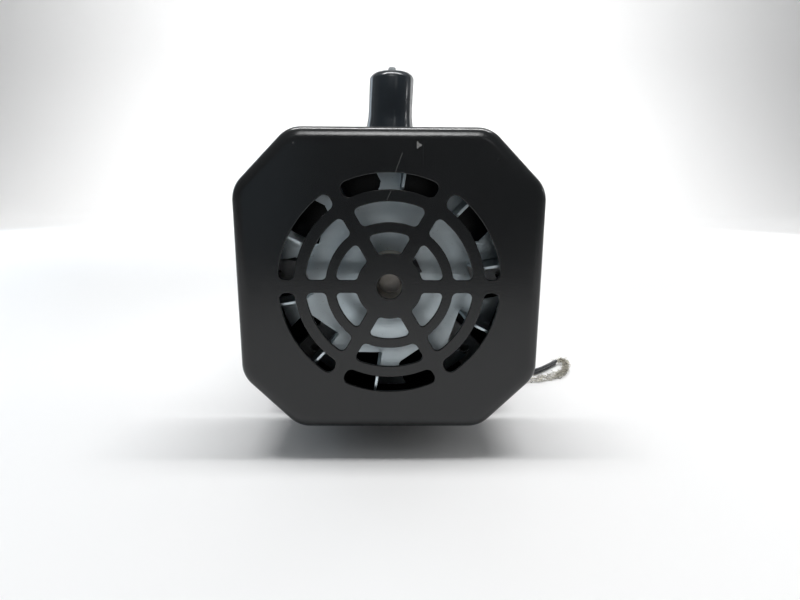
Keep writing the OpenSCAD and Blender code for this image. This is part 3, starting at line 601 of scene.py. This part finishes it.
braidSpec = {
    "radius": 0.0018,
    "strands": 19,
    "strandRadius": 0.0001,
    "wander": (2, 9),          # radians round the braid, along its whole length
    "reach": (0.02, 1.4),      # squared distance from its middle, in squared radii
    "width": 0.9,              # how flat a strand's way round is
    "height": 0.8,
    "shortest": 6,             # points of the smooth line
    "kink": 0.0007,
    "firstKink": 0.3,          # share of the kink where the lead ends
    "kinkGrowth": 3,           # how fast that share grows along the braid
    "strays": 110,
    "strayLift": (-0.2, 1),
    "straySize": (0.0010, 0.0028),
    "strayRoot": (0.0008, 0.0006),    # aside and up
    "strayKink": 0.0002,
    "straySteps": 6,
    "route": [
        (0.0858, 0.0935, 0.0018), (0.0874, 0.0949, 0.0018), (0.089, 0.0954, 0.0018),
        (0.0902, 0.0943, 0.0018), (0.0904, 0.0918, 0.0018), (0.0898, 0.0886, 0.0018),
        (0.0884, 0.0846, 0.0018), (0.0862, 0.0806, 0.0018), (0.0834, 0.0772, 0.0018),
        (0.080, 0.0743, 0.0018), (0.0762, 0.072, 0.0018), (0.0722, 0.0704, 0.0018),
        (0.0684, 0.0696, 0.0018), (0.065, 0.0698, 0.0018),
    ],
}


def routeLine(spec):
    return smoothLine([Vector((x, faceY + depth, z)) for x, depth, z in spec["route"]], 5)


def makeLead(spec):
    line = routeLine(spec)
    frames = lineFrames(line)
    total = lineLength(line)
    offset = spec["radius"] - spec["wireRadius"]
    lanes = ([], [])
    gone = 0
    for i, point in enumerate(line):
        gone += (point - line[i - 1]).length if i else 0
        angle = spec["twists"] * fullTurn * max(0, spec["twisted"] - gone / total)
        angle += spec["lastTurn"]
        aside, up = frames[i]
        out = (aside * math.cos(angle) + up * math.sin(angle)) * offset
        lanes[0].append(point + out)
        lanes[1].append(point - out)
    lead = wires("leadPair", lanes, spec["wireRadius"], 4)
    settle(lead, finish["leadPlastic"], "lead_cord")
    return lead, line


# Kinked strands that wander about the route, with loose hairs standing out of them
def makeBraid(spec):
    dice = random.Random(7)
    line = routeLine(spec)
    frames = lineFrames(line)
    last = len(line) - 1
    thin = spec["strandRadius"]
    low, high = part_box("braid_pigtail")
    lanes = []

    # a place beside the line, kept inside the braid's own box
    def at(i, across, height):
        aside, up = frames[i]
        place = line[i] + aside * across + up * height
        return Vector(min(max(p, a + thin), b - thin) for p, a, b in zip(place, low, high))

    # every other strand begins with the braid, and every third one ends with it
    for s in range(spec["strands"]):
        phase = dice.uniform(0, fullTurn)
        rate = dice.choice((-1, 1)) * dice.uniform(*spec["wander"])
        reach = spec["radius"] * math.sqrt(dice.uniform(*spec["reach"]))
        start = 0 if s % 2 else dice.randint(0, last // 2)
        end = last if s % 3 == 0 else dice.randint(start + spec["shortest"], last)
        lane = []
        for i in range(start, end + 1):
            angle = phase + rate * i / last
            kink = spec["kink"] * min(1, spec["firstKink"] + spec["kinkGrowth"] * i / last)
            across = spec["width"] * reach * math.cos(angle) + dice.gauss(0, kink)
            height = spec["height"] * reach * math.sin(angle) + dice.gauss(0, kink)
            lane.append(at(i, across, height))
        lanes.append(lane)
    steps = spec["straySteps"]
    rootSide, rootUp = spec["strayRoot"]
    for s in range(spec["strays"]):
        i = dice.randint(1, last - steps + 1)
        side, lift = dice.uniform(-1, 1), dice.uniform(*spec["strayLift"])
        size = dice.uniform(*spec["straySize"])
        lane = []
        for k in range(steps + 1):
            across = side * (rootSide + size * math.sin(quarterTurn * k / steps))
            height = lift * (rootUp + size * k / steps) + dice.gauss(0, spec["strayKink"])
            lane.append(at(i + k // 2, across, height))
        lanes.append(lane)
    braid = wires("tinnedBraid", lanes, thin, 1)
    settle(braid, finish["tinnedWire"], "braid_pigtail")
    return braid, line


lead, leadLine = makeLead(leadSpec)
braid, braidLine = makeBraid(braidSpec)
print("lead and braid ready")

coverSpec = {
    "cut": 0.0185,
    "cornerRadius": 0.010,
    # the rim's section, as (in from the side, back from the face): shoulder, slope, round
    "rim": [
        (0.0052, 0), (0.0047, 0.000006), (0.0042, 0.000026), (0.0038, 0.000058),
        (0.0034, 0.000112), (0.0030, 0.00020), (0.0026, 0.00033), (0.0022, 0.00048),
        (0.0018, 0.00065), (0.0014, 0.00085), (0.0010, 0.00111), (0.0006, 0.00146),
        (0.0003, 0.00184), (0.0001, 0.00226), (0, 0.0028),
    ],
    "sheet": 0.001,
    "cornerSteps": 8,
    "hole": 0.0041,
    "holeSteps": 32,
    # the rings of slots: inner and outer radius, and corner radius
    "slots": [(0.0108, 0.01755, 0.0013), (0.02085, 0.0273, 0.0017), (0.0311, 0.0362, 0.0021)],
    "slotSteps": (6, 5, 8),    # along half the inner side, round a corner, along half the outer
    "spoke": 0.0043,
    "spokes": 6,
    "bevel": 0.00026,
    "sharp": 50,
}


# The rounded octagon, drawn in by some amount, as (across, up) from the axis
def octagon(spec, inset):
    half, r = coverWidth / 2, spec["cornerRadius"]
    near = half - spec["cut"] - r * (math.sqrt(2) - 1)
    points = []
    for k in range(8):
        quarter = Matrix.Rotation(k // 2 * quarterTurn, 2)
        middle = quarter @ (Vector((half - r, near)) if k % 2 == 0 else Vector((near, half - r)))
        for i in range(spec["cornerSteps"] + 1):
            a = math.radians(45 * (k + i / spec["cornerSteps"]))
            points.append(middle + (r - inset) * Vector((math.cos(a), math.sin(a))))
    return points


def arc(middle, radius, start, end, steps):
    return [middle + radius * Vector((math.cos(start + (end - start) * i / steps),
                                      math.sin(start + (end - start) * i / steps)))
            for i in range(steps + 1)]


# One grille slot between two spokes, the first spoke along +X
def slotOutline(spec, inner, outer, round_):
    innerSteps, roundSteps, outerSteps = spec["slotSteps"]
    off = spec["spoke"] / 2 + round_
    farMiddle = Vector((math.sqrt((outer - round_) ** 2 - off ** 2), off))
    nearMiddle = Vector((math.sqrt((inner + round_) ** 2 - off ** 2), off))
    farAngle = math.atan2(farMiddle.y, farMiddle.x)
    nearAngle = math.atan2(nearMiddle.y, nearMiddle.x)
    middleAngle = math.pi / spec["spokes"]
    half = list(reversed(arc(Vector((0, 0)), inner, nearAngle, middleAngle, innerSteps)[1:]))
    half += arc(nearMiddle, round_, nearAngle + math.pi, 1.5 * math.pi, roundSteps)
    half += arc(farMiddle, round_, -quarterTurn, farAngle, roundSteps)
    half += arc(Vector((0, 0)), outer, farAngle, middleAngle, outerSteps)[1:]
    mirrored = []
    for p in reversed(half[1:-1]):
        a = 2 * middleAngle - math.atan2(p.y, p.x)
        mirrored.append(p.length * Vector((math.cos(a), math.sin(a))))
    return half + mirrored


def makeCover(spec):
    bm = bmesh.new()

    def at(points, depth):
        return [Vector((p.x, faceY + depth, axisZ + p.y)) for p in points]

    verts, edges = addLoop(bm, at(octagon(spec, spec["rim"][0][0]), 0))
    holes = [arc(Vector((0, 0)), spec["hole"], 0, fullTurn, spec["holeSteps"])[:-1]]
    for inner, outer, round_ in spec["slots"]:
        outline = slotOutline(spec, inner, outer, round_)
        for k in range(spec["spokes"]):
            turn = Matrix.Rotation(k * fullTurn / spec["spokes"], 2)
            holes.append([turn @ p for p in outline])
    rims = list(edges)
    for hole in holes:
        rims += addLoop(bm, at(hole, 0))[1]
    bmesh.ops.triangle_fill(bm, edges=rims, use_beauty=True, normal=(0, -1, 0))
    for inset, depth in spec["rim"][1:]:
        verts, edges = growLoop(bm, verts, edges, at(octagon(spec, inset), depth))
    growLoop(bm, verts, edges, at(octagon(spec, 0), coverHigh.y - coverLow.y))
    bmesh.ops.recalc_face_normals(bm, faces=bm.faces)
    if sum(f.normal.y * f.calc_area() for f in bm.faces) > 0:
        bmesh.ops.reverse_faces(bm, faces=bm.faces)
    cover = toObject("coverShell", bm)
    makeSheet(cover, spec)
    return settle(cover, finish["coverPaint"], "front_cover")


makeCover(coverSpec)
print("cover ready")

fanSpec = {
    "blades": 10,
    "first": 81.66,            # degrees, from +X towards up
    "radius": 0.0395,
    "root": 0.0275,
    "height": 0.0127,
    "sheet": 0.0009,
    "bend": 0.0015,            # outside radius of the bend
    "gap": 0.0128,
    "gapHeights": (0.004, 0.008, 0.0105, 0.0115, 0.0125),
    "gapCorner": 0.0035,       # out from the root to where the gap's far side begins
    "lean": 0.0015,            # how far the root runs out, and by which height
    "leanTop": 0.011,
    "tipRound": 0.0022,        # how far the tip's corner is cut back, and from which height
    "tipStart": 0.0105,
    "columns": 6,
    "bendSteps": 4,
    "bladeSteps": 7,
    "tabSteps": 6,
    "hub": 0.0100,
    "hubSteps": 48,
    "bevel": 0.00012,
    "sharp": 50,
}


# The inner edge of a blade, by height, which is also the inner edge of its gap
def bladeRoot(spec, height):
    lean = spec["root"] + spec["lean"] * min(height, spec["leanTop"]) / spec["leanTop"]
    over = max(0.0, height - spec["tipStart"]) / (spec["height"] - spec["tipStart"])
    return lean + spec["tipRound"] * over ** 2


# One bent-up blade, as rows of points from the bend's start to its free edge
def addBlade(bm, spec, turn):
    root, rim, bend = spec["root"], spec["radius"], spec["bend"]
    columns = spec["columns"]
    rows = []
    for i in range(spec["bendSteps"] + 1):
        a = quarterTurn * i / spec["bendSteps"]
        rows.append((-bend * (1 - math.sin(a)), bend * (1 - math.cos(a))))
    rise = spec["height"] + spec["sheet"] - bend
    rows += [(0, bend + rise * i / spec["bladeSteps"]) for i in range(1, spec["bladeSteps"] + 1)]
    grid = []
    for v, h in rows:
        start = bladeRoot(spec, max(h - spec["sheet"], 0)) if h > bend else root
        across = [start + (rim - start) * i / columns for i in range(columns + 1)]
        grid.append([bm.verts.new((*(turn @ Vector((u, -v))), h)) for u in across])
    for a, b in zip(grid, grid[1:]):
        for i in range(columns):
            bm.faces.new((a[i], a[i + 1], b[i + 1], b[i]))


# The disc's outline along one blade's foot, round its tab's rim and back along the next gap
def tabOutline(spec):
    root, rim, bend, gap = spec["root"], spec["radius"], spec["bend"], spec["gap"]
    columns, steps = spec["columns"], spec["tabSteps"]
    foot = [Vector((root + (rim - root) * i / columns, bend)) for i in range(columns + 1)]
    gapEdge = [Vector((bladeRoot(spec, h), -h)) for h in spec["gapHeights"]]
    gapEdge.append(Vector((root + spec["gapCorner"], -gap)))
    side = Vector((math.sqrt(rim ** 2 - gap ** 2), -gap))
    startAngle = math.atan2(side.y, side.x)
    endAngle = -fullTurn / spec["blades"] + math.asin(bend / rim)
    edge = [side] + arc(Vector((0, 0)), rim, startAngle, endAngle, steps)[1:-1]
    return list(reversed(foot)) + [Vector((root, 0))] + gapEdge + edge


def makeFan(spec):
    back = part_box("fan_wheel")[1].y
    bm = bmesh.new()
    outline = []
    for k in range(spec["blades"]):
        turn = Matrix.Rotation(math.radians(spec["first"]) - k * fullTurn / spec["blades"], 2)
        addBlade(bm, spec, turn)
        outline += [turn @ p for p in tabOutline(spec)]
    verts, edges = addLoop(bm, [(p.x, p.y, 0) for p in outline])
    hole = arc(Vector((0, 0)), spec["hub"], 0, fullTurn, spec["hubSteps"])[:-1]
    hub = addLoop(bm, [(p.x, p.y, 0) for p in hole])[1]
    bmesh.ops.triangle_fill(bm, edges=edges + hub, use_beauty=True, normal=(0, 0, 1))
    bmesh.ops.remove_doubles(bm, verts=bm.verts, dist=weldDistance)
    bmesh.ops.recalc_face_normals(bm, faces=bm.faces)
    disc = [f for f in bm.faces if abs(f.calc_center_median().z) < 1e-6]
    if sum(f.normal.z * f.calc_area() for f in disc) > 0:
        bmesh.ops.reverse_faces(bm, faces=bm.faces)
    stand = Matrix.Translation((0, back, axisZ)) @ Matrix.Rotation(quarterTurn, 4, "X")
    bmesh.ops.transform(bm, matrix=stand, verts=bm.verts)
    fan = toObject("fanSheet", bm, spec["sharp"])
    makeSheet(fan, spec)
    return settle(fan, finish["fanSheet"], "fan_wheel")


makeFan(fanSpec)
print("fan ready")

capSpec = {
    "wall": 0.0021,
    "margin": 0.0008,          # from the wall out to the side of the CAD's box
    # the outside, up from the hem: out from the wall, above the bottom
    "outside": [
        (0.0001, 0), (0.0005, 0.0004), (0.0004, 0.0012), (0.0002, 0.0026), (-0.0001, 0.0045),
        (-0.0002, 0.008),
    ],
    "hemRound": 0.0004,
    "shoulder": 0.0026,
    "shoulderDrop": 0.9,       # its height, as a share of its width
    "shoulderPower": 1.35,
    "shoulderSteps": 10,
    # the nipple: radius, above the top
    "nipple": [
        (0.0030, 0.0001), (0.0019, 0.0004), (0.0016, 0.0010), (0.00136, 0.0017),
        (0.0008, 0.0021), (0, 0.0022),
    ],
    "paleFrom": 0.0002,        # above the top, where the nipple's paler finish begins: a translucent tip, its pale tone partly painted light shining through it
    "headroom": 0.0007,        # over the spigot
    "ceilingEase": 0.0006,
    "ceilingInset": 0.001,
    "steps": 72,
    "sharp": 50,
    "leanLow": -0.0003,        # how far the cap leans across, at its hem and at its top
    "leanHigh": 0.0006,
}


def makePortCap(spec):
    low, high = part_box("port_cap")
    outer = (high.x - low.x) / 2 - spec["margin"]
    bore = outer - spec["wall"]
    bottom, top = low.z, high.z - spec["nipple"][-1][1]
    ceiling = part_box("outlet_spigot")[1].z + spec["headroom"]
    hem, shoulder = spec["hemRound"], spec["shoulder"]
    profile = [(bore, ceiling - spec["ceilingEase"]), (bore, bottom + hem), (bore + hem, bottom)]
    profile += [(outer + out, bottom + up) for out, up in spec["outside"]]
    neck = outer + spec["outside"][-1][0]
    for i in range(spec["shoulderSteps"] + 1):
        a = quarterTurn * i / spec["shoulderSteps"]
        inward = 1 - math.cos(a) ** spec["shoulderPower"]
        down = 1 - math.sin(a) ** spec["shoulderPower"]
        profile.append((neck - shoulder * inward, top - shoulder * spec["shoulderDrop"] * down))
    profile += [(radius, top + up) for radius, up in spec["nipple"]]
    profile += [(0, ceiling), (bore - spec["ceilingInset"], ceiling)]
    middle = Vector((0, (low.y + high.y) / 2, 0))
    cap = spin("vinylCap", profile, middle, spec["steps"], spec["sharp"])
    for v in cap.data.vertices:
        up = (v.co.z - bottom) / (top - bottom)
        v.co.x += spec["leanLow"] + (spec["leanHigh"] - spec["leanLow"]) * min(1, up)
    settle(cap, finish["capVinyl"], "port_cap")
    # the nipple's faces get the pale tip finish, partly painted light shining through the
    # translucent tip
    cap.data.materials.append(finish["capTipLitThrough"])
    for face in cap.data.polygons:
        if face.center.z > top + spec["paleFrom"]:
            face.material_index = 1


makePortCap(capSpec)
print("cap ready")

# CAD shapes that are right get broken edges: edge width in metres, and the finish
edgeSpec = {
    "cover_screws": (0.0002, "brightSteel"),
    "baffle_plate": (0.0002, "coverPaint"),
    "baffle_screws": (0.0003, "brightSteel"),
    "fan_hub": (0.0003, "hubMetal"),
    "shaft": (0.0002, "shaftSteel"),
    "crankcase": (0.0008, "casting"),
    "adapter_plate": (0.0006, "casting"),
    "adapter_screws": (0.0002, "brightSteel"),
    "valve_plate": (0.0005, "casting"),
    "head_gasket": (0.0001, "gasketFibre"),
    "head_cover": (0.0005, "casting"),
    "head_screws": (0.0003, "brightSteel"),
    "outlet_spigot": (0.0004, "spigotBrass"),
    "spigot_seal": (0.0003, "sealRubber"),
    "inlet_filter_cap": (0.0005, "filterPlastic"),
    "motor_front_bell": (0.0008, "casting"),
    "stator_core": (0.0003, "lamination"),
    "stator_windings": (0.0008, "winding"),
    "rear_bell": (0.0008, "casting"),
    "through_bolts": (0.0004, "brightSteel"),
    "bolt_nuts": (0.0004, "brightSteel"),
    "base_plate": (0.0006, "basePaint"),
    "base_screws": (0.0003, "brightSteel"),
    "rubber_feet": (0.0006, "blackRubber"),
    "foot_screws": (0.0003, "brightSteel"),
    "lead_grommet": (0.0003, "blackRubber"),
}


def breakEdges(node, width, material):
    bm = bmesh.new()
    bm.from_mesh(frame["nodes"][node].data)
    bmesh.ops.remove_doubles(bm, verts=bm.verts, dist=weldDistance)
    bmesh.ops.dissolve_degenerate(bm, edges=bm.edges, dist=1e-6)
    bmesh.ops.dissolve_limit(bm, angle_limit=math.radians(0.5), verts=bm.verts, edges=bm.edges)
    obj = toObject(node + "_finished", bm)
    bevelEdges(obj, width)
    return settle(obj, material, node)


for node, (width, name) in edgeSpec.items():
    breakEdges(node, width, finish[name])
print("edges broken")

# Inner pieces keep their CAD shape
innerFinish = {
    "fan_set_screw": "springSteel",
    "shaft_circlip": "springSteel",
    "eccentric": "shaftSteel",
    "eccentric_set_screw": "springSteel",
    "eccentric_circlip": "springSteel",
    "rotor_core": "lamination",
    "rotor_cage": "castCage",
    "bearing_circlip": "springSteel",
    "wave_washer": "springSteel",
    "connecting_rod": "rodMetal",
    "upper_clamp_disc": "rodMetal",
    "clamp_screw": "brightSteel",
    "diaphragm": "blackRubber",
    "inlet_valve": "valveRubber",
    "outlet_valve": "valveRubber",
    "inlet_felt": "felt",
}
for bearing in ("front", "rear", "rod"):
    for ring in ("inner", "outer", "balls"):
        innerFinish[f"{bearing}_bearing_{ring}"] = "brightSteel"
    innerFinish[f"{bearing}_bearing_cage"] = "cagePlastic"
for node, name in innerFinish.items():
    data = frame["nodes"][node].data
    data.materials.clear()
    data.materials.append(finish[name])
print("inner pieces ready")

stageSpec = {
    "floorTone": (0.86, 0.86, 0.86),
    "front": 0.38,
    "back": 1.6,
    "width": 8.0,
    "sweep": 0.5,
    "sweepSteps": 16,
    "top": 2.2,
}


# A pale floor that curves up into a backdrop
def makeStage(spec):
    bm = bmesh.new()
    half = spec["width"] / 2
    rows = [(-spec["front"], 0), (spec["back"] - spec["sweep"], 0)]
    for i in range(1, spec["sweepSteps"] + 1):
        a = quarterTurn * i / spec["sweepSteps"]
        rows.append((spec["back"] - spec["sweep"] * (1 - math.sin(a)),
                     spec["sweep"] * (1 - math.cos(a))))
    rows.append((spec["back"], spec["top"]))
    verts, edges = addLoop(bm, [(-half, y, z) for y, z in rows], closed=False)
    out = bmesh.ops.extrude_edge_only(bm, edges=edges)["geom"]
    copies = [g for g in out if isinstance(g, bmesh.types.BMVert)]
    bmesh.ops.translate(bm, verts=copies, vec=(spec["width"], 0, 0))
    bmesh.ops.recalc_face_normals(bm, faces=bm.faces)
    floor = toObject("floor", bm, 60)
    material = bpy.data.materials.new("floorPaper")
    material.use_nodes = True
    shader = material.node_tree.nodes["Principled BSDF"]
    shader.inputs["Base Color"].default_value = (*spec["floorTone"], 1)
    shader.inputs["Roughness"].default_value = 0.6
    floor.data.materials.append(material)


def makeLight(name, size, power, place, aim, spread=180, tint=(1, 1, 1)):
    data = bpy.data.lights.new(name, "AREA")
    data.shape = "RECTANGLE"
    data.size, data.size_y = size
    data.energy = power
    data.color = tint
    data.spread = math.radians(spread)
    obj = bpy.data.objects.new(name, data)
    obj.location = place
    obj.rotation_euler = (Vector(aim) - Vector(place)).to_track_quat("-Z", "Y").to_euler()
    bpy.context.scene.collection.objects.link(obj)


worldSpec = {
    "front": 0.125,
    "back": 0.55,
    "fade": (-0.5, 0.7),       # from the one to the other, by the direction's Y
    "tint": (0.97, 0.99, 1.0),
}


# Dim in front of the pump and bright behind it
def makeWorld(spec):
    world = bpy.data.worlds.new("studio")
    world.use_nodes = True
    tree = world.node_tree
    background = tree.nodes["Background"]
    background.inputs["Color"].default_value = (*spec["tint"], 1)
    place = tree.nodes.new("ShaderNodeTexCoord")
    split = tree.nodes.new("ShaderNodeSeparateXYZ")
    spread = tree.nodes.new("ShaderNodeMapRange")
    spread.inputs["From Min"].default_value, spread.inputs["From Max"].default_value = spec["fade"]
    spread.inputs["To Min"].default_value = spec["front"]
    spread.inputs["To Max"].default_value = spec["back"]
    tree.links.new(place.outputs["Generated"], split.inputs["Vector"])
    tree.links.new(split.outputs["Y"], spread.inputs["Value"])
    tree.links.new(spread.outputs["Result"], background.inputs["Strength"])
    bpy.context.scene.world = world


lightSpecs = {
    # a long narrow lamp straight over the cover's face, with a softer one just behind it
    "overheadStrip": {
        "size": (0.9, 0.022), "power": 4.1,
        "place": (0.05, -0.054, 0.90), "aim": (0.05, -0.054, 0),
    },
    "overheadSoft": {
        "size": (0.9, 0.08), "power": 3.6,
        "place": (0.05, 0.0, 0.90), "aim": (0.05, 0.0, 0),
    },
    # a wide lamp over the backdrop
    "backdropLight": {
        "size": (1.9, 0.4), "power": 13.6, "spread": 100,
        "place": (0, 0.55, 1.5), "aim": (0, 1.5, 0.2),
    },
    # small lamps near the cover's top edge, to the right and high in front
    "edgeStrip": {
        "size": (0.28, 0.045), "power": 0.026, "spread": 34,
        "place": (0, -0.188, 0.242), "aim": (0, -0.060, 0.125),
    },
    "rightStrip": {
        "size": (0.05, 0.035), "power": 0.05,
        "place": (0.50, -0.03, 0.218), "aim": (0, -0.05, 0.12),
    },
    "cornerLamp": {
        "size": (0.12, 0.12), "power": 0.06,
        "place": (0.34, -0.78, 0.44), "aim": (0.03, -0.07, 0.08),
    },
    # wide dim panels round about
    "leftPanel": {
        "size": (0.3, 0.5), "power": 1.3, "tint": (0.75, 0.88, 1.0),
        "place": (-0.75, 0.60, 0.35), "aim": (0, 0, 0.08),
    },
    "rightPanel": {
        "size": (0.3, 0.5), "power": 1.3,
        "place": (0.75, 0.60, 0.35), "aim": (0, 0, 0.08),
    },
    "frontPanel": {
        "size": (0.3, 0.25), "power": 0.05, "tint": (0.55, 0.80, 1.0),
        "place": (-0.30, -0.75, 0.10), "aim": (0, 0, 0.08),
    },
}

makeStage(stageSpec)
for name, spec in lightSpecs.items():
    makeLight(name, **spec)
makeWorld(worldSpec)
bpy.context.scene.view_settings.view_transform = "Standard"
print("stage ready")
